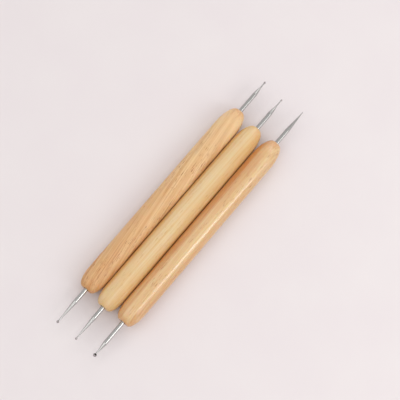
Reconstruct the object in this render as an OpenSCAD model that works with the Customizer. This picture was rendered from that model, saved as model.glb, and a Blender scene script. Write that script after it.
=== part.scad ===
// Set of three double-ended ball styluses for embossing, lying side by side on a table.
// Each stylus is a turned wooden handle with a ground steel shaft glued into a blind bore at
// either end, and a small steel ball brazed to the end of each shaft.
// Millimetres. +Z is up from the table and +X runs along the handles to their nose ends.
// The origin is the middle of the set's box, on the table.

/* [Handle] */
// Length of each turned handle
handle_l = 104.2; // [90:0.1:120]
// Diameter of the handle's straight barrel
handle_d = 10.6; // [10:0.1:12]
// Length over which the slender nose end is turned down
nose_l = 11; // [8:0.5:18]
// Length over which the blunt tail end is turned down
tail_l = 8; // [4:0.5:10]
// Width of the flat ring round the bore's mouth at the nose end
nose_rim = 0.2; // [0.1:0.1:1]
// Width of the flat ring round the bore's mouth at the tail end
tail_rim = 1; // [0.6:0.1:2]

/* [Shaft seats] */
// Diameter of the steel wire that the shafts are ground from
wire_d = 2; // [1.6:0.1:2.4]
// Length of wire glued into the handle
seat_l = 16; // [10:1:24]
// Room for glue between the wire and its bore, on the radius
glue_gap = 0.05; // [0.02:0.01:0.1]
// Free depth of bore beyond the wire's inner end
bore_spare = 0.6; // [0.3:0.1:2]
// Included angle of the drill point at the bottom of the bore
drill_angle = 118; // [90:1:140]
// Chamfer at the bore's mouth
mouth_chamfer = 0.3; // [0.2:0.05:0.5]
// Lead-in chamfer on the wire's inner end
lead_in = 0.4; // [0.2:0.1:0.6]
// Number of ring grooves that key the wire into its glue
grooves = 3; // [1:1:3]
// Distance from the handle's end face in to the outermost groove
groove_in = 0.1; // [0.1:0.1:0.5]
// Width of each groove
groove_w = 0.8; // [0.7:0.1:1.2]
// Depth of each groove
groove_deep = 0.2; // [0.1:0.05:0.3]

/* [Left stylus] */
// Reach of the nose shaft, from the handle to the far side of its ball
left_nose_reach = 17.9; // [15:0.1:20]
// Length of its ground taper
left_nose_taper = 4.6; // [3:0.1:6]
// Length of its slim neck
left_nose_neck = 1.9; // [1:0.1:2.5]
// Diameter of its neck
left_nose_neck_d = 0.55; // [0.4:0.05:0.7]
// Diameter of its ball
left_nose_ball = 1; // [0.8:0.1:1.2]
// Reach of the tail shaft, from the handle to the far side of its ball
left_tail_reach = 19.2; // [18:0.1:23]
// Length of its ground taper
left_tail_taper = 9.8; // [8:0.1:12]
// Length of its slim neck
left_tail_neck = 1.2; // [0.8:0.1:2]
// Diameter of its neck
left_tail_neck_d = 0.6; // [0.4:0.05:0.7]
// Diameter of its ball
left_tail_ball = 1.2; // [1:0.1:1.5]
// How far this stylus lies towards its nose, past the middle one
left_ahead = 1.2; // [-3:0.1:3]

/* [Middle stylus] */
// Reach of the nose shaft, from the handle to the far side of its ball
middle_nose_reach = 17.6; // [15:0.1:20]
// Length of its ground taper
middle_nose_taper = 4.9; // [3:0.1:6]
// Length of its slim neck
middle_nose_neck = 2.6; // [1:0.1:3]
// Diameter of its neck
middle_nose_neck_d = 0.5; // [0.35:0.05:0.6]
// Diameter of its ball
middle_nose_ball = 0.8; // [0.7:0.1:1]
// Reach of the tail shaft, from the handle to the far side of its ball
middle_tail_reach = 18.3; // [17:0.1:22]
// Length of its ground taper
middle_tail_taper = 10.2; // [8:0.1:12]
// Length of its slim neck
middle_tail_neck = 1.2; // [0.8:0.1:2]
// Diameter of its neck
middle_tail_neck_d = 0.55; // [0.4:0.05:0.7]
// Diameter of its ball
middle_tail_ball = 1; // [0.8:0.1:1.2]

/* [Right stylus] */
// Reach of the nose shaft, from the handle to the far side of its ball
right_nose_reach = 18.7; // [16:0.1:21]
// Length of its ground taper
right_nose_taper = 9.8; // [8:0.1:12]
// Length of its slim neck
right_nose_neck = 0.6; // [0.4:0.1:1.5]
// Diameter of its neck
right_nose_neck_d = 0.35; // [0.25:0.05:0.4]
// Diameter of its ball
right_nose_ball = 0.5; // [0.45:0.05:0.7]
// Reach of the tail shaft, from the handle to the far side of its ball
right_tail_reach = 19.3; // [18:0.1:23]
// Length of its ground taper
right_tail_taper = 4.1; // [3:0.1:6]
// Length of its slim neck
right_tail_neck = 1.7; // [1:0.1:2.5]
// Diameter of its neck
right_tail_neck_d = 0.7; // [0.5:0.05:0.9]
// Diameter of its ball
right_tail_ball = 1.6; // [1.3:0.1:2]
// How far this stylus lies towards its nose, past the middle one
right_ahead = 0.5; // [-3:0.1:3]

/* [Layout] */
// Gap between the barrels of neighbouring handles
lay_gap = 0.1; // [0.1:0.05:0.5]

/* [Hidden] */

// Steps in each turned end's curve
end_steps = 18;
// Overlap that lets a cut pass clean through a face
cut_over = 1;
$fn = 96;

// Lacquered beech, birch and beech, and bright steel
left_wood = "#DBB183";
middle_wood = "#E4C699";
right_wood = "#DEB788";
steel = "silver";

wire_r = wire_d / 2;
bore_r = wire_r + glue_gap;
bore_depth = seat_l + bore_spare;
mouth_r = bore_r + mouth_chamfer;

// A tip is a list: its reach, taper length, neck length, neck diameter and ball diameter
left_nose = [left_nose_reach, left_nose_taper, left_nose_neck, left_nose_neck_d, left_nose_ball];
left_tail = [left_tail_reach, left_tail_taper, left_tail_neck, left_tail_neck_d, left_tail_ball];
middle_nose = [middle_nose_reach, middle_nose_taper, middle_nose_neck, middle_nose_neck_d, middle_nose_ball];
middle_tail = [middle_tail_reach, middle_tail_taper, middle_tail_neck, middle_tail_neck_d, middle_tail_ball];
right_nose = [right_nose_reach, right_nose_taper, right_nose_neck, right_nose_neck_d, right_nose_ball];
right_tail = [right_tail_reach, right_tail_taper, right_tail_neck, right_tail_neck_d, right_tail_ball];

function reach(tip) = tip[0];
function taper_l(tip) = tip[1];
function neck_l(tip) = tip[2];
function neck_r(tip) = tip[3] / 2;
function ball_r(tip) = tip[4] / 2;

// Where the taper, the neck and the ball's centre lie, measured out from the handle's end face
function neck_end(tip) = reach(tip) - 2 * ball_r(tip);
function neck_start(tip) = neck_end(tip) - neck_l(tip);
function taper_start(tip) = neck_start(tip) - taper_l(tip);
function ball_centre(tip) = reach(tip) - ball_r(tip);

// The set's box runs from the tail ball that reaches furthest to the nose ball that does
foremost = handle_l / 2 + max(
    left_ahead + reach(left_nose), reach(middle_nose), right_ahead + reach(right_nose));
rearmost = -handle_l / 2 - max(
    reach(left_tail) - left_ahead, reach(middle_tail), reach(right_tail) - right_ahead);
middle_x = -(foremost + rearmost) / 2;
pitch = handle_d + lay_gap;

// A turned end's outline: a quarter ellipse from its flat face out to the barrel, as [distance in, radius]
function turned_end(length, face_r) = [
    for (i = [0 : end_steps])
        let (turn = 90 * i / end_steps)
            [length * (1 - cos(turn)), face_r + (handle_d / 2 - face_r) * sin(turn)]
];

function backwards(points) = [for (i = [len(points) - 1 : -1 : 0]) points[i]];

// The whole handle's outline, tail to nose, as [radius, height]
function handle_outline() = concat(
    [[0, -handle_l / 2]],
    [for (p = turned_end(tail_l, mouth_r + tail_rim)) [p[1], p[0] - handle_l / 2]],
    [for (p = backwards(turned_end(nose_l, mouth_r + nose_rim))) [p[1], handle_l / 2 - p[0]]],
    [[0, handle_l / 2]]
);

// The grooves start at the mouth and share the seated length evenly, clear of the lead-in chamfer
groove_pitch = (seat_l - groove_in - lead_in) / grooves;

// One groove's outline, from its inner edge to its outer edge
function groove(i) =
    let (outer = -groove_in - i * groove_pitch, inner = outer - groove_w)
        [[wire_r, inner], [wire_r - groove_deep, inner], [wire_r - groove_deep, outer], [wire_r, outer]];

// A shaft's outline from its inner end to the inside of its ball, as [radius, height]
function shaft_outline(tip) = concat(
    [[0, -seat_l], [wire_r - lead_in, -seat_l], [wire_r, lead_in - seat_l]],
    [for (i = [grooves - 1 : -1 : 0], p = groove(i)) p],
    [[wire_r, taper_start(tip)], [neck_r(tip), neck_start(tip)]],
    [[neck_r(tip), ball_centre(tip)], [0, ball_centre(tip)]]
);

// Blind bore drilled down from height 0, with a chamfered mouth and the drill's point
module bore() {
    point_h = bore_r / tan(drill_angle / 2);
    translate([0, 0, -bore_depth])
        cylinder(r = bore_r, h = bore_depth + cut_over);
    translate([0, 0, -bore_depth - point_h])
        cylinder(r1 = 0, r2 = bore_r, h = point_h);
    translate([0, 0, -mouth_chamfer])
        cylinder(r1 = bore_r, r2 = mouth_r + cut_over, h = mouth_chamfer + cut_over);
}

// Turned handle along Z, centred, nose up
module turned_handle(wood) {
    color(wood)
        difference() {
            rotate_extrude() polygon(handle_outline());
            at_nose() bore();
            at_tail() bore();
        }
}

// Ground shaft with its inner end below height 0 and a cup in its neck that the ball sits in
module ground_shaft(tip) {
    color(steel)
        difference() {
            rotate_extrude() polygon(shaft_outline(tip));
            seated_ball(tip);
        }
}

// Ball at its place beyond height 0
module seated_ball(tip) {
    color(steel)
        translate([0, 0, ball_centre(tip)])
            sphere(r = ball_r(tip));
}

// From the handle's centre to either end face, with Z pointing outwards
module at_nose() {
    translate([0, 0, handle_l / 2]) children();
}

module at_tail() {
    rotate([180, 0, 0]) translate([0, 0, handle_l / 2]) children();
}

// From a stylus's own frame, along Z, to its place in the row on the table
module laid(row, ahead) {
    translate([middle_x + ahead, row * pitch, handle_d / 2])
        rotate([0, 90, 0])
            children();
}

module in_left() {
    laid(1, left_ahead) children();
}

module in_middle() {
    laid(0, 0) children();
}

module in_right() {
    laid(-1, right_ahead) children();
}

module left_handle() in_left() turned_handle(left_wood);
module left_nose_shaft() in_left() at_nose() ground_shaft(left_nose);
module left_nose_ball() in_left() at_nose() seated_ball(left_nose);
module left_tail_shaft() in_left() at_tail() ground_shaft(left_tail);
module left_tail_ball() in_left() at_tail() seated_ball(left_tail);

module middle_handle() in_middle() turned_handle(middle_wood);
module middle_nose_shaft() in_middle() at_nose() ground_shaft(middle_nose);
module middle_nose_ball() in_middle() at_nose() seated_ball(middle_nose);
module middle_tail_shaft() in_middle() at_tail() ground_shaft(middle_tail);
module middle_tail_ball() in_middle() at_tail() seated_ball(middle_tail);

module right_handle() in_right() turned_handle(right_wood);
module right_nose_shaft() in_right() at_nose() ground_shaft(right_nose);
module right_nose_ball() in_right() at_nose() seated_ball(right_nose);
module right_tail_shaft() in_right() at_tail() ground_shaft(right_tail);
module right_tail_ball() in_right() at_tail() seated_ball(right_tail);

left_handle();
left_nose_shaft();
left_nose_ball();
left_tail_shaft();
left_tail_ball();
middle_handle();
middle_nose_shaft();
middle_nose_ball();
middle_tail_shaft();
middle_tail_ball();
right_handle();
right_nose_shaft();
right_nose_ball();
right_tail_shaft();
right_tail_ball();
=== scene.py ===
# %% [markdown]
# Three embossing styluses lie side by side on a pale table. Each one is a turned wooden handle
# with a ground steel shaft in either end and a small ball on the tip of each shaft. This
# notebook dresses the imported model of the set: it builds smooth, finely finished pieces in the
# places that the frame gives, then adds the table, the light and the camera.

import math

import bmesh
import bpy
from mathutils import Matrix, Vector


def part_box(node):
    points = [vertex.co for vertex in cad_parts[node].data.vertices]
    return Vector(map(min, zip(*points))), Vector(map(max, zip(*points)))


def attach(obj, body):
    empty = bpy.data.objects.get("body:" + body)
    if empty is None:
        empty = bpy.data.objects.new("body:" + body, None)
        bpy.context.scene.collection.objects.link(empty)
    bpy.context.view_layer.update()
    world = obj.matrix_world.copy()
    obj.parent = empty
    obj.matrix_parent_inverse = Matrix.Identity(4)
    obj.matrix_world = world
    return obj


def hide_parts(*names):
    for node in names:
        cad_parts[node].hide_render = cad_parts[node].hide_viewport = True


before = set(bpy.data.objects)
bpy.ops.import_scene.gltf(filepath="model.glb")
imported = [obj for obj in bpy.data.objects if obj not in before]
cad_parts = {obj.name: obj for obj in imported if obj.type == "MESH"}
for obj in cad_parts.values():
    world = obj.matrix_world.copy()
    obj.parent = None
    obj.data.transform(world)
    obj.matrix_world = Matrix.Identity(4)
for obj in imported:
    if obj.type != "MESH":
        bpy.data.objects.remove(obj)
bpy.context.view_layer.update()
MM = 0.001
SIDES = ("left", "middle", "right")
# Each end of a stylus, and the way along X that it points
ENDS = {"nose": 1, "tail": -1}

# %% [markdown]
# Every piece here is round about its own long axis, so two numbers place any point of it: how
# far along X it lies and how far out from the axis. They could be typed in again, but reading
# them from the frame's own meshes keeps the pieces true to the model if a size changes there.

# %% Read the pieces' outlines from the frame
# Measures that differ by less than this, in mm, are the same
SAME = 0.0015


def axis_of(node):
    """The middle of the node's box across its length, as (y, z)."""
    low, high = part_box(node)
    return (low.y + high.y) / 2, (low.z + high.z) / 2


def stations(node, end, start):
    """The node's corners as (distance, radius) in mm, measured from start outwards at one end."""
    y, z = axis_of(node)
    corners = [vertex.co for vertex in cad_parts[node].data.vertices]
    points = {(round(ENDS[end] * (co.x - start) / MM, 3),
               round(math.hypot(co.y - y, co.z - z) / MM, 3)) for co in corners}
    return sorted(points)


def tip_of(points):
    """How far the points reach, and their greatest radius there."""
    reach = max(d for d, r in points)
    return reach, max(r for d, r in points if d > reach - SAME)


def face_x(side, end):
    """Where the handle's end face lies along X."""
    low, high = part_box(f"{side}_handle")
    return high.x if end == "nose" else low.x


for side in SIDES:
    low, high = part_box(f"{side}_handle")
    print(side, "handle", round((high.x - low.x) / MM, 2), "mm long,",
          round((high.z - low.z) / MM, 2), "mm across")

# %% [markdown]
# The camera comes early, because it decides how much detail shows. The set is seen from high
# above, leaning a little back towards the blunt ends, which is why the mouths of their bores
# just show. A camera can be aimed with a Track To constraint, but three vectors give the roll
# too: the line to the camera, then the tools' length laid across the picture at a slant.

# %% Camera
IMAGE_SIDE = 400
SENSOR_MM = 36
LENS_MM = 165
PIXELS_PER_MM = 2.29
SLANT = math.radians(49.28)
LEAN_TO_TAILS = 0.199
LEAN_TO_RIGHT = 0.081
TARGET = Vector((11.01, -1.49, 5.3)) * MM
NEAREST_SEEN = 0.05
FARTHEST_SEEN = 20

distance = LENS_MM / SENSOR_MM * IMAGE_SIDE / PIXELS_PER_MM * MM
to_camera = Vector((-LEAN_TO_TAILS, -LEAN_TO_RIGHT, 1)).normalized()
along = Vector((1, 0, 0))
along = (along - along.project(to_camera)).normalized()
across = to_camera.cross(along)
right = math.cos(SLANT) * along - math.sin(SLANT) * across
up = math.sin(SLANT) * along + math.cos(SLANT) * across

camera_data = bpy.data.cameras.new("camera")
camera_data.lens = LENS_MM
camera_data.sensor_width = SENSOR_MM
camera_data.clip_start = NEAREST_SEEN
camera_data.clip_end = FARTHEST_SEEN
camera = bpy.data.objects.new("camera", camera_data)
bpy.context.scene.collection.objects.link(camera)
rotation = Matrix((right, up, to_camera)).transposed()
camera.matrix_world = Matrix.Translation(TARGET + to_camera * distance) @ rotation.to_4x4()
bpy.context.scene.camera = camera
print("the camera stands", round(distance, 3), "m from the set")

# %% [markdown]
# Colours are picked as sRGB hex values, as any colour chooser shows them, while shaders want
# linear light. One function turns the first into the second. A second small function adds a
# node, sets its options and fills its sockets, so each material below reads as a list of what
# it does. A third stretches noise to a real size in millimetres, which wood, steel and paper
# all need.

# %% Colours, nodes and noise
# Places of a Mix node's sockets, which can't be told apart by name: the share, the first and
# second value and their result, the first and second colour and theirs
SHARE = 0
FIRST_VALUE, SECOND_VALUE, VALUE_RESULT = 2, 3, 0
FIRST, SECOND, RESULT = 6, 7, 2
# Nearly all of a noise's values lie between these two
NOISE_LOW, NOISE_HIGH = 0.3, 0.7


def linear(hex_code):
    """An sRGB colour such as "#E4C699" as linear red, green, blue and alpha."""
    channels = [int(hex_code[i:i + 2], 16) / 255 for i in (1, 3, 5)]
    light = [c / 12.92 if c <= 0.04045 else ((c + 0.055) / 1.055) ** 2.4 for c in channels]
    return (*light, 1)


def add_node(tree, kind, sockets, **options):
    """Adds a node; a socket is given a value or another node's output."""
    node = tree.nodes.new(kind)
    for name, value in options.items():
        setattr(node, name, value)
    for name, value in sockets.items():
        if isinstance(value, bpy.types.NodeSocket):
            tree.links.new(value, node.inputs[name])
        else:
            node.inputs[name].default_value = value
    return node


def new_material(name):
    """An empty material and its node tree."""
    material = bpy.data.materials.new(name)
    material.use_nodes = True
    material.node_tree.nodes.clear()
    return material, material.node_tree


def stretched_noise(tree, place, size, detail, roughness):
    """Noise whose lumps measure about size in mm along X, Y and Z."""
    squeezed = add_node(tree, "ShaderNodeMapping", {
        "Vector": place, "Scale": [1 / length / MM for length in size]}).outputs["Vector"]
    return add_node(tree, "ShaderNodeTexNoise", {
        "Vector": squeezed, "Scale": 1, "Detail": detail, "Roughness": roughness}).outputs["Fac"]


print("white is", linear("#FFFFFF"), "and 1 mm is", MM, "m")

# %% [markdown]
# The handles are beech and birch: pale, close-grained woods that turn cleanly. Beech is known
# by its flecks, short dark dashes along the grain, and birch by its even, milky colour. A
# picture could be wrapped round each handle, but wood is solid, so its pattern is drawn here
# in three dimensions on Object coordinates: growth rings that show as long streaks, fine
# fibres between them, flecks two or three millimetres long, and cloudy patches. The lathe then
# cuts through that pattern as it does through a real blank. Real fibres are finer than a
# pixel, so they are drawn coarser.

# %% Grain
# For each feature of the grain: its size in mm along the grain, across it and deep, the
# detail and roughness of its noise, and the part of the noise's range that it makes use of
GRAIN = {
    "rings": {"size": (110, 1.3, 7), "detail": 3, "roughness": 0.6, "span": (0.38, 0.66)},
    "fibres": {"size": (14, 0.3, 0.8), "detail": 2, "roughness": 0.6, "span": (0.35, 0.7)},
    "clouds": {"size": (16, 5, 5), "detail": 2, "roughness": 0.5, "span": (0.35, 0.65)},
    "wander": {"size": (40, 4, 4), "detail": 2, "roughness": 0.6, "span": (NOISE_LOW, NOISE_HIGH)},
    "dashes": {"size": (3.2, 0.34, 0.6), "detail": 2, "roughness": 0.6, "span": (0.575, 0.7)},
    "patches": {"size": (20, 3.5, 5), "detail": 1, "roughness": 0.5, "span": (0.45, 0.58)},
    "lines": {"size": (30, 0.55, 3), "detail": 2, "roughness": 0.5, "span": (0.56, 0.7)},
}


def grain(tree, place, feature, lowest=0.0, highest=1.0):
    """One feature of the grain, as a value that is held between lowest and highest."""
    shape = GRAIN[feature]
    noise = stretched_noise(tree, place, shape["size"], shape["detail"], shape["roughness"])
    low, high = shape["span"]
    return add_node(tree, "ShaderNodeMapRange", {
        "Value": noise, "From Min": low, "From Max": high,
        "To Min": lowest, "To Max": highest}).outputs["Result"]


print("features of the grain:", ", ".join(GRAIN))

# %% [markdown]
# The wood goes from a pale colour to a deep one: in its rings, fibres and clouds, and where it
# lay nearer the heart of the tree, which is towards one end. Bands of painted shade deepen it
# too: along the lines where the handles touch they stand for the shade and warm bounce light
# of the crevices, and on the open side of the right handle they darken it below its bright
# line. The bands may drift a little sideways. Flecks and dark lines mark it on top of that.
# Each of these could be a colour of its own, but adding them up to one depth and one strength
# of marks lets them build on each other, as they do in real wood.

# %% Depth and marks of the wood
FIBRE_SHARE = 0.35
CLOUD_SHARE = 0.25
LINE_SHARE = 0.45
# How far the bands of painted shade wander sideways
WANDER = 0.9 * MM
HALF_LENGTH = 50 * MM


def wood_depth(tree, point, place, board):
    """How deep the wood's colour is: 0 is the board's pale colour and 1 its deep one."""
    spot = add_node(tree, "ShaderNodeSeparateXYZ", {0: point})

    def tail_to_nose(at_tail, at_nose):
        """A value that changes evenly along the handle."""
        return add_node(tree, "ShaderNodeMapRange", {
            "Value": spot.outputs["X"], "From Min": -HALF_LENGTH, "From Max": HALF_LENGTH,
            "To Min": at_tail, "To Max": at_nose}).outputs["Result"]

    depth = tail_to_nose(board["heart"], -board["heart"])
    for feature, share in (("rings", 1), ("fibres", FIBRE_SHARE), ("clouds", CLOUD_SHARE)):
        depth = add_node(tree, "ShaderNodeMath", {
            0: grain(tree, place, feature), 1: share * board["rings"], 2: depth},
            operation="MULTIPLY_ADD").outputs[0]
    sideways = add_node(tree, "ShaderNodeMath", {
        0: spot.outputs["Y"], 1: grain(tree, place, "wander", -WANDER, WANDER)},
        operation="ADD").outputs[0]
    # Painted shade: deeper colour along the lines where the handles touch, and on the right
    # handle's open side
    for y, drift, spread, share in board["shade_bands"]:
        middle = tail_to_nose((y - drift) * MM, (y + drift) * MM)
        offset = add_node(tree, "ShaderNodeMath", {0: sideways, 1: middle},
                          operation="SUBTRACT").outputs[0]
        away = add_node(tree, "ShaderNodeMath", {0: offset}, operation="ABSOLUTE").outputs[0]
        shade_band = add_node(tree, "ShaderNodeMapRange", {
            "Value": away, "From Min": 0, "From Max": spread * MM,
            "To Min": share, "To Max": 0}).outputs["Result"]
        depth = add_node(tree, "ShaderNodeMath", {0: depth, 1: shade_band}, operation="ADD").outputs[0]
    return depth


def wood_marks(tree, place, board):
    """How strongly flecks and lines mark the wood."""
    dashes = add_node(tree, "ShaderNodeMath", {
        0: grain(tree, place, "dashes"), 1: grain(tree, place, "patches")},
        operation="MULTIPLY").outputs[0]
    marks = add_node(tree, "ShaderNodeMath", {
        0: dashes, 1: grain(tree, place, "lines", 0, LINE_SHARE)}, operation="MAXIMUM").outputs[0]
    return add_node(tree, "ShaderNodeMath", {0: marks, 1: board["flecks"]},
                    operation="MULTIPLY").outputs[0]


print("the grain's bands wander by", round(WANDER / MM, 1), "mm")

# %% [markdown]
# The lacquer is the shader's coat, over wood that is dull itself. End grain drinks more of it
# and looks darker where the lathe cut across the grain. A little light is let into the wood,
# because it glows warmly where two handles touch. The inside of each bore is coloured dark, out
# to just past its mouth. Object coordinates could tell where that is, but an attribute on
# the mesh follows the mouth if its size changes.

# %% Lacquered wood
GLOW_DEPTH = 1.0 * MM
# The dark colour given to the inside of each bore, out to just past its mouth
BORE_COLOUR = "#4A3119"
# The square of how far a surface faces along the grain, where end grain starts and is full
END_GRAIN_STARTS, END_GRAIN_FULL = 0.02, 0.7


def lacquered_wood(name, board):
    """Turned and lacquered wood, from a board's description."""
    material, tree = new_material(name)
    point = add_node(tree, "ShaderNodeTexCoord", {})
    place = add_node(tree, "ShaderNodeMapping", {
        "Vector": point.outputs["Object"], "Location": board["place"],
        "Rotation": [math.radians(angle) for angle in board["slant"]]}).outputs["Vector"]
    pale, deep, fleck = (linear(board[shade]) for shade in ("pale", "deep", "fleck"))
    depth = wood_depth(tree, point.outputs["Object"], place, board)
    marks = wood_marks(tree, place, board)
    colour = add_node(tree, "ShaderNodeMix", {SHARE: depth, FIRST: pale, SECOND: deep},
                      data_type="RGBA").outputs[RESULT]
    colour = add_node(tree, "ShaderNodeMix", {SHARE: marks, FIRST: colour, SECOND: fleck},
                      data_type="RGBA").outputs[RESULT]

    facing = add_node(tree, "ShaderNodeSeparateXYZ", {0: point.outputs["Normal"]}).outputs["X"]
    squared = add_node(tree, "ShaderNodeMath", {0: facing, 1: 2}, operation="POWER").outputs[0]
    end_grain = add_node(tree, "ShaderNodeMapRange", {
        "Value": squared, "From Min": END_GRAIN_STARTS, "From Max": END_GRAIN_FULL,
        "To Min": 0, "To Max": board["end_grain"]}).outputs["Result"]
    colour = add_node(tree, "ShaderNodeMix", {SHARE: end_grain, FIRST: colour, SECOND: deep},
                      data_type="RGBA").outputs[RESULT]
    bored = add_node(tree, "ShaderNodeAttribute", {}, attribute_name="bored").outputs["Fac"]
    colour = add_node(tree, "ShaderNodeMix", {
        SHARE: bored, FIRST: colour, SECOND: linear(BORE_COLOUR)}, data_type="RGBA").outputs[RESULT]

    pores = add_node(tree, "ShaderNodeBump", {
        "Height": marks, "Strength": 0.2, "Distance": 0.05 * MM}, invert=True)
    shader = add_node(tree, "ShaderNodeBsdfPrincipled", {
        "Base Color": colour, "Roughness": 0.6, "IOR": 1.45, "Subsurface Weight": 0.5,
        "Subsurface Radius": (1.0, 0.5, 0.2), "Subsurface Scale": GLOW_DEPTH,
        "Coat Weight": board["coat"], "Coat IOR": 1.5, "Coat Roughness": board["satin"],
        "Normal": pores.outputs["Normal"]})
    add_node(tree, "ShaderNodeOutputMaterial", {"Surface": shader.outputs["BSDF"]})
    return material


print("the mouths of the bores are stained", BORE_COLOUR)

# %% [markdown]
# Three boards are cut for the three handles. Each has its own place in the pattern, its own
# slant of grain and its own colours, and its lacquer is thick and glossy on the right handle,
# and thin and satin on the other two. One material could serve all three and read its board
# from the mesh, but three materials can each be tuned, and exported, on their own.

# %% Boards
# The place is in metres and the slant in degrees. The heart is how much deeper the tail end
# is coloured than the middle. A shade band is painted shade along the handle, where the
# handles touch or on the right handle's open side: its middle across the set, how far that
# drifts by the nose and, the other way, by the tail, and how wide it spreads, all in mm, then
# its depth.
BOARDS = {
    "left": {
        "name": "satin_lacquered_beech", "slot": "left_beech",
        "place": (0.47, 0.02, 0.05), "slant": (8, 2, -6.6),
        "pale": "#E8C595", "deep": "#C98E54", "fleck": "#A5622D",
        "rings": 0.52, "flecks": 1.0, "end_grain": 0.6,
        "heart": 0.24, "shade_bands": [],
        "coat": 0.3, "satin": 0.45},
    "middle": {
        "name": "satin_lacquered_birch", "slot": "middle_birch",
        "place": (0.74, 0.11, 0.02), "slant": (0, 1, 1),
        "pale": "#E3CA9F", "deep": "#D39C4C", "fleck": "#B98340",
        "rings": 0.28, "flecks": 0.45, "end_grain": 0.3,
        "heart": 0.0, "shade_bands": [(-5, 0.6, 4.5, 0.5), (5.3, -0.6, 2.4, 0.55)],
        "coat": 0.3, "satin": 0.5},
    "right": {
        "name": "gloss_lacquered_beech", "slot": "right_beech",
        "place": (0.52, 0.07, 0.13), "slant": (20, 1, -1),
        "pale": "#E5CA9A", "deep": "#CA8648", "fleck": "#A8662F",
        "rings": 0.4, "flecks": 0.7, "end_grain": 0.5,
        "heart": 0.0, "shade_bands": [(-5.4, -1.1, 4.9, 0.65), (-14, -1, 1.8, 0.12),
                                (-17.2, -1.8, 3, 0.35)],
        "coat": 0.9, "satin": 0.14},
}
WOODS = {side: lacquered_wood(board["name"], board) for side, board in BOARDS.items()}
print("woods:", [wood.name for wood in WOODS.values()])

# %% [markdown]
# The shafts are drawn steel wire with a dull skin. The grinding wheel cuts through that skin
# to brighter metal on the taper and leaves fine rings there, while drawing leaves lines along
# the wire. Real lines and rings are finer than a pixel, so they are drawn coarser. The two
# could be two materials, but they meet on one piece, so an attribute on the mesh says how far
# a point is ground, and the material fades from one to the other. Brazing scorches the metal
# next to the joint, and a second attribute says where. Metal keeps the shader's usual index
# of refraction, and its colour is the tint of its reflection.

# %% Steel
SCORCH = "#3B3533"
DRAWN_LINES = (9, 0.1, 0.1)
GROUND_RINGS = (0.12, 5, 5)


def worn_steel(name, skin, bright, smooth, rough):
    """Steel that is skin coloured with lines along X, and bright with rings where ground."""
    material, tree = new_material(name)
    point = add_node(tree, "ShaderNodeTexCoord", {}).outputs["Object"]
    ground = add_node(tree, "ShaderNodeAttribute", {}, attribute_name="ground").outputs["Fac"]
    scorched = add_node(tree, "ShaderNodeAttribute", {}, attribute_name="scorched").outputs["Fac"]
    lines = stretched_noise(tree, point, DRAWN_LINES, detail=2, roughness=0.5)
    rings = stretched_noise(tree, point, GROUND_RINGS, detail=2, roughness=0.5)
    marks = add_node(tree, "ShaderNodeMix", {
        SHARE: ground, FIRST_VALUE: lines, SECOND_VALUE: rings}).outputs[VALUE_RESULT]
    tint = add_node(tree, "ShaderNodeMix", {
        SHARE: ground, FIRST: linear(skin), SECOND: linear(bright)},
        data_type="RGBA").outputs[RESULT]
    tint = add_node(tree, "ShaderNodeMix", {
        SHARE: scorched, FIRST: tint, SECOND: linear(SCORCH)}, data_type="RGBA").outputs[RESULT]
    wear = add_node(tree, "ShaderNodeMapRange", {
        "Value": marks, "From Min": NOISE_LOW, "From Max": NOISE_HIGH,
        "To Min": smooth, "To Max": rough}).outputs["Result"]
    relief = add_node(tree, "ShaderNodeBump", {
        "Height": marks, "Strength": 0.1, "Distance": 0.003 * MM})
    shader = add_node(tree, "ShaderNodeBsdfPrincipled", {
        "Base Color": tint, "Metallic": 1, "Roughness": wear,
        "Normal": relief.outputs["Normal"]})
    add_node(tree, "ShaderNodeOutputMaterial", {"Surface": shader.outputs["BSDF"]})
    return material


STEEL = worn_steel("ground_steel_wire", skin="#C2C0BD", bright="#BDBBB8", smooth=0.16, rough=0.2)
BALL_STEEL = worn_steel("burnished_steel_ball", skin="#B4ADAD", bright="#B4ADAD",
                        smooth=0.2, rough=0.26)
print("steels:", STEEL.name, "and", BALL_STEEL.name)

# %% [markdown]
# A lathe makes a shape by turning it, and a spin does the same: a few vertices joined in a row
# give half the outline, and the spin sweeps them once round the axis. The vertices that lie on
# the axis come out as many copies of one point, so doubles are merged, and then the normals
# are recalculated, because a spin can turn a shape inside out. Smooth shading bends the light
# over the whole of a long face next to a corner, so long faces are cut into steps of a
# millimetre and true corners are marked as sharp.

# %% Spinning an outline
LONGEST_STEP = 1.0 * MM
SHARP_ANGLE = math.radians(30)
DOUBLES_WITHIN = 0.001 * MM
EDGE_SEGMENTS = 3


def stepped(outline):
    """The outline with points added, so that no step along it is long."""
    points = [outline[0]]
    for start, end in zip(outline, outline[1:]):
        pieces = math.ceil(math.dist(start, end) / LONGEST_STEP)
        for i in range(1, pieces + 1):
            share = i / pieces
            points.append((start[0] + (end[0] - start[0]) * share,
                           start[1] + (end[1] - start[1]) * share))
    return points


def spun(name, outline, side, segments):
    """A bmesh of the outline, (x, radius) in metres, swept round the side's own axis."""
    y, z = axis_of(f"{side}_handle")
    mesh = bmesh.new()
    points = [mesh.verts.new((x, y, z + radius)) for x, radius in stepped(outline)]
    lines = [mesh.edges.new(pair) for pair in zip(points, points[1:])]
    bmesh.ops.spin(mesh, geom=points + lines, cent=(0, y, z), axis=(1, 0, 0), angle=math.tau,
                   steps=segments, use_merge=True)
    bmesh.ops.remove_doubles(mesh, verts=mesh.verts, dist=DOUBLES_WITHIN)
    bmesh.ops.recalc_face_normals(mesh, faces=mesh.faces)
    print(name, "spun from", len(outline), "points")
    return mesh


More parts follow.
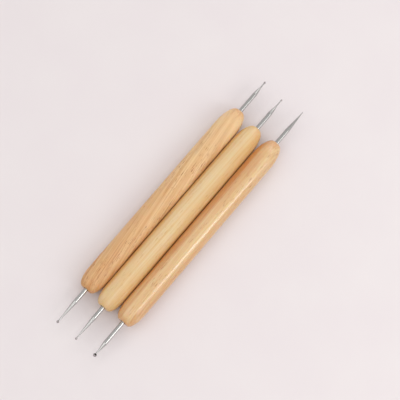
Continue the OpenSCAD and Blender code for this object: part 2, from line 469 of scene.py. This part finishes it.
def softened(mesh, side, corners, width):
    """Rounds the rings of edges that stand at the given (x, radius) corners."""
    y, z = axis_of(f"{side}_handle")

    def on_corner(vertex, x, radius):
        out = math.hypot(vertex.co.y - y, vertex.co.z - z)
        return max(abs(vertex.co.x - x), abs(out - radius)) < SAME * MM

    rings = [edge for edge in mesh.edges
             if any(all(on_corner(v, x, radius) for v in edge.verts) for x, radius in corners)]
    bmesh.ops.bevel(mesh, geom=rings, offset=width, segments=EDGE_SEGMENTS, profile=0.5,
                    affect="EDGES", material=-1)


def finished(mesh, name, side, material):
    """Turns the bmesh into a piece that stands for the CAD node of the same name."""
    data = bpy.data.meshes.new(name)
    mesh.to_mesh(data)
    mesh.free()
    data.materials.append(material)
    data.shade_smooth()
    data.set_sharp_from_angle(angle=SHARP_ANGLE)
    piece = bpy.data.objects.new(f"{name}_dressed", data)
    bpy.context.scene.collection.objects.link(piece)
    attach(piece, side)
    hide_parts(name)
    return piece


print("corners over", round(math.degrees(SHARP_ANGLE)), "degrees stay sharp")

# %% [markdown]
# The handle is one turned piece. Its two ends are quarter ellipses, a short blunt one and a
# long slender one, and each has a bore drilled down its middle with a countersunk mouth. The
# outline therefore starts at the point of one drilled hole, comes out through its mouth, runs
# over the handle and goes back in at the other end. Out of sight the hole is simpler here
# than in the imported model: it narrows evenly from its mouth to a ring of the drilled point,
# so the seated wire runs into the wood. The ellipse could be read from the frame too, but a
# formula gives it finer steps. Sandpaper has taken the edge off the ring round each mouth.

# %% Handles
END_STEPS = 28
HANDLE_SEGMENTS = 144
SANDED_EDGE = 0.07 * MM
# In mm: how much of the handle is read for one end, what no countersink is deeper than, the
# radius that a ring of the drilled point must pass to be used, and how wide a ring round the
# mouth the bore's dark colour may fade over
END_REACH = 30
MOUTH_REACH = 5
SMALLEST_RING = 0.5
DARK_RING_WIDTH = 0.3


def end_outline(side, end):
    """The outline of one end, from the drilled hole's point to the barrel, and its corners."""
    face = face_x(side, end)
    inward = -ENDS[end]
    low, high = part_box(f"{side}_handle")
    barrel = (high.z - low.z) / 2 / MM
    near = [(-d, r) for d, r in stations(f"{side}_handle", end, face) if d > -END_REACH]
    at_face = [r for d, r in near if d < SAME]
    mouth, rim = min(at_face), max(at_face)
    ring = min(r for d, r in near if d > MOUTH_REACH and r > SMALLEST_RING)
    ring_depth = max(d for d, r in near if abs(r - ring) < SAME)
    point_depth = max(d for d, r in near if r < SAME)
    turned = min(d for d, r in near if r > barrel - SAME)
    inside = [(point_depth, 0), (ring_depth, ring), (0, mouth)]
    curve = []
    for step in range(END_STEPS + 1):
        angle = math.pi / 2 * step / END_STEPS
        curve.append((turned * (1 - math.cos(angle)), rim + (barrel - rim) * math.sin(angle)))
    darkened = [(0, mouth + DARK_RING_WIDTH)] if rim - mouth > DARK_RING_WIDTH else []
    points = [(face + inward * d * MM, r * MM) for d, r in inside + darkened + curve]
    corners = [(face, mouth * MM), (face, rim * MM)]
    print(side, end, "mouth", mouth, "rim", rim, "turned over", turned, "mm")
    return points, corners


for side in SIDES:
    tail_points, tail_corners = end_outline(side, "tail")
    nose_points, nose_corners = end_outline(side, "nose")
    name = f"{side}_handle"
    body = spun(name, tail_points + nose_points[::-1], side, HANDLE_SEGMENTS)
    softened(body, side, tail_corners + nose_corners, SANDED_EDGE)
    piece = finished(body, name, side, WOODS[side])
    y, z = axis_of(name)
    mouth = tail_corners[0][1]
    # Marks the inside of the bore, out to just past its mouth, to be coloured dark
    bored = piece.data.attributes.new("bored", "FLOAT", "POINT")
    for vertex in piece.data.vertices:
        out = math.hypot(vertex.co.y - y, vertex.co.z - z)
        bored.data[vertex.index].value = float(out < mouth + SANDED_EDGE / 2)

# %% [markdown]
# A shaft is a length of 2 mm wire: ringed with shallow grooves where the glue holds it,
# straight where it leaves the handle, then ground to a cone and left with a slim neck for the
# ball. A cylinder, a cone and a thinner cylinder could be joined, but one outline read from
# the frame and spun leaves no seams. The corner where the cone begins is softened by the
# width of a grinding scratch, so that it catches the light.

# %% Shafts
SHAFT_SEGMENTS = 64
GROUND_EDGE = 0.05 * MM


def grooved(seat, wire):
    """The seat's corners in order along the wire, down into each groove and out of it again."""
    ordered = []
    outside = False
    for d in sorted({d for d, r in seat}):
        radii = sorted(r for e, r in seat if e == d)
        if len(radii) == 2:
            ordered += [(d, r) for r in (radii if not outside else radii[::-1])]
            outside = not outside
        else:
            ordered.append((d, radii[0]))
            outside = radii[0] == wire
    return ordered


def shaft_outline(side, end):
    """The outline of a shaft and the corner where its taper starts, in metres."""
    node = f"{side}_{end}_shaft"
    face = face_x(side, end)
    near = stations(node, end, face)
    wire = max(r for d, r in near)
    taper_start = max(d for d, r in near if abs(r - wire) < SAME)
    neck = tip_of(near)[1]
    neck_start = min(d for d, r in near if abs(r - neck) < SAME)
    seat = [(d, r) for d, r in near if d < 0 and r > wire / 2]
    inner_end = min(d for d, r in near)
    ball_low, ball_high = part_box(f"{side}_{end}_ball")
    middle = ENDS[end] * ((ball_low.x + ball_high.x) / 2 - face) / MM
    outline = [(inner_end, 0)] + grooved(seat, wire) + [
        (taper_start, wire), (neck_start, neck), (middle, neck), (middle, 0)]
    points = [(face + ENDS[end] * d * MM, r * MM) for d, r in outline]
    return points, (face + ENDS[end] * taper_start * MM, wire * MM)


for side in SIDES:
    for end in ENDS:
        name = f"{side}_{end}_shaft"
        points, corner = shaft_outline(side, end)
        shaft = spun(name, points, side, SHAFT_SEGMENTS)
        softened(shaft, side, [corner], GROUND_EDGE)
        piece = finished(shaft, name, side, STEEL)
        ground = piece.data.attributes.new("ground", "FLOAT", "POINT")
        for vertex in piece.data.vertices:
            past_corner = ENDS[end] * (vertex.co.x - corner[0])
            ground.data[vertex.index].value = float(past_corner > -GROUND_EDGE)

# %% [markdown]
# Each ball is a small steel sphere brazed into a cup in the neck's end. The braze leaves a
# tiny fillet, so the outline is most of a circle that runs into the neck on a concave curve.
# A UV sphere joined to a cone would leave a seam there, and one spun outline doesn't. A big
# ball takes much more heat than a small one, so only the biggest is scorched nearly black.

# %% Balls
BALL_STEPS = 36
FILLET_STEPS = 6
# The fillet starts where the ball is this many times as wide as the neck, and its length is
# a share of the ball's radius
FILLET_START = 1.25
FILLET_REACH = 0.18
# A ball of this size is scorched in full, and smaller ones by a power of their size. The
# scorch reaches over a share of the ball and is this steep.
HOTTEST_BALL = 1.5 * MM
HEAT_POWER = 4
SCORCHED_SHARE = 0.7
SCORCH_STEEPNESS = 2


def ball_outline(side, end):
    """From the ball's far pole round to the neck, with the braze's fillet, in metres."""
    low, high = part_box(f"{side}_{end}_ball")
    centre = (low.x + high.x) / 2
    radius = (high.x - low.x) / 2
    neck = tip_of(stations(f"{side}_{end}_shaft", end, centre))[1] * MM
    # The circle is left at this angle, measured from the far pole, to meet the neck
    meets = math.pi - math.asin(min(1, neck / radius * FILLET_START))
    angles = [meets * step / BALL_STEPS for step in range(BALL_STEPS + 1)]
    circle = [(radius * math.cos(angle), radius * math.sin(angle)) for angle in angles]
    start_d, start_r = circle[-1]
    end_d = start_d - FILLET_REACH * radius
    fillet = []
    for step in range(1, FILLET_STEPS + 1):
        share = step / FILLET_STEPS
        fillet.append((start_d + (end_d - start_d) * share,
                       neck + (start_r - neck) * (1 - share) ** 2))
    outline = circle + fillet + [(end_d, 0)]
    return [(centre + ENDS[end] * d, r) for d, r in outline]


for side in SIDES:
    for end in ENDS:
        name = f"{side}_{end}_ball"
        ball = spun(name, ball_outline(side, end), side, SHAFT_SEGMENTS)
        piece = finished(ball, name, side, BALL_STEEL)
        low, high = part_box(name)
        near, far = (low.x, high.x) if end == "nose" else (high.x, low.x)
        heat = min(1, ((high.x - low.x) / HOTTEST_BALL) ** HEAT_POWER)
        scorched = piece.data.attributes.new("scorched", "FLOAT", "POINT")
        for vertex in piece.data.vertices:
            outward = (vertex.co.x - near) / (far - near)
            scorch = SCORCH_STEEPNESS * (1 - outward / SCORCHED_SHARE)
            scorched.data[vertex.index].value = heat * min(1, max(0, scorch))

# %% [markdown]
# The table is a plain pale sheet. It is far wider than the set, so that no edge shows from
# any side, and it isn't part of the object. One flat colour would do for a backdrop, but
# paper is never quite even, so a faint noise mottles it.

# %% Table
TABLE_SIDE = 6.0
MOTTLE_SIZE = (30, 30, 30)

table_material, tree = new_material("pale_paper")
point = add_node(tree, "ShaderNodeTexCoord", {}).outputs["Object"]
mottle = add_node(tree, "ShaderNodeMapRange", {
    "Value": stretched_noise(tree, point, MOTTLE_SIZE, detail=3, roughness=0.5),
    "From Min": NOISE_LOW, "From Max": NOISE_HIGH}).outputs["Result"]
paper = add_node(tree, "ShaderNodeMix", {
    SHARE: mottle, FIRST: linear("#E3DADB"), SECOND: linear("#E5DDDD")},
    data_type="RGBA").outputs[RESULT]
shader = add_node(tree, "ShaderNodeBsdfPrincipled", {
    "Base Color": paper, "Roughness": 0.8, "IOR": 1.5})
add_node(tree, "ShaderNodeOutputMaterial", {"Surface": shader.outputs["BSDF"]})

sheet = bmesh.new()
bmesh.ops.create_grid(sheet, x_segments=1, y_segments=1, size=TABLE_SIDE / 2)
table_data = bpy.data.meshes.new("table")
sheet.to_mesh(table_data)
sheet.free()
table_data.materials.append(table_material)
table = bpy.data.objects.new("table", table_data)
bpy.context.scene.collection.objects.link(table)
print("table", TABLE_SIDE, "m square")

# %% [markdown]
# The light is that of a small photo studio: an even pale room, a large softbox overhead, on
# the side of the blunt ends, another beyond the slender ends, and three small ones to the
# right. Polished metal shows what stands round it, so the lamps are placed by their
# reflections. The large box shows only in the tapers of the tail shafts. The narrow strip
# draws the bright line along the glossy handle, and it is turned in its own plane, because
# that line runs a little aslant. The broader, weaker boxes before and behind it draw the pale
# band along each shaft. A sun lamp would make those lines too thin and its shadow too hard.

# %% Light
ROOM_LIGHT = 0.64
LAMP_DISTANCE = 0.6


def softbox(name, tilt, shift, length, width, power, turn=0):
    """A soft lamp aimed across the set, tilted from overhead to the right, in degrees.

    It may also be turned in its own plane. It is shifted along the set in metres.
    """
    data = bpy.data.lights.new(name, "AREA")
    data.shape = "RECTANGLE"
    data.size = length
    data.size_y = width
    data.energy = power
    lamp = bpy.data.objects.new(name, data)
    angle = math.radians(tilt)
    # The order ZYX turns the lamp about its own axis before it is tilted
    lamp.rotation_mode = "ZYX"
    lamp.rotation_euler = (angle, 0, math.radians(turn))
    lamp.location = (shift, -LAMP_DISTANCE * math.sin(angle), LAMP_DISTANCE * math.cos(angle))
    lamp.visible_camera = False
    bpy.context.scene.collection.objects.link(lamp)
    print(name, "gives", power, "W")


softbox("large_softbox", tilt=-10, shift=-0.275, length=0.45, width=1.1, power=1.42)
softbox("far_softbox", tilt=-6, shift=0.7, length=0.45, width=0.8, power=2.7)
softbox("strip_softbox", tilt=50.3, shift=0.111, length=0.33, width=0.07, power=0.49, turn=-66)
softbox("tail_softbox", tilt=50, shift=-0.005, length=0.11, width=0.34, power=0.25)
softbox("nose_softbox", tilt=50, shift=0.245, length=0.11, width=0.22, power=0.09)

world = bpy.data.worlds.new("studio")
bpy.context.scene.world = world
world.use_nodes = True
tree = world.node_tree
tree.nodes.clear()
room = add_node(tree, "ShaderNodeBackground", {
    "Color": linear("#FFFFFF"), "Strength": ROOM_LIGHT})
add_node(tree, "ShaderNodeOutputWorld", {"Surface": room.outputs["Background"]})
bpy.context.scene.view_settings.view_transform = "Standard"
print("five softboxes in a room at", ROOM_LIGHT)
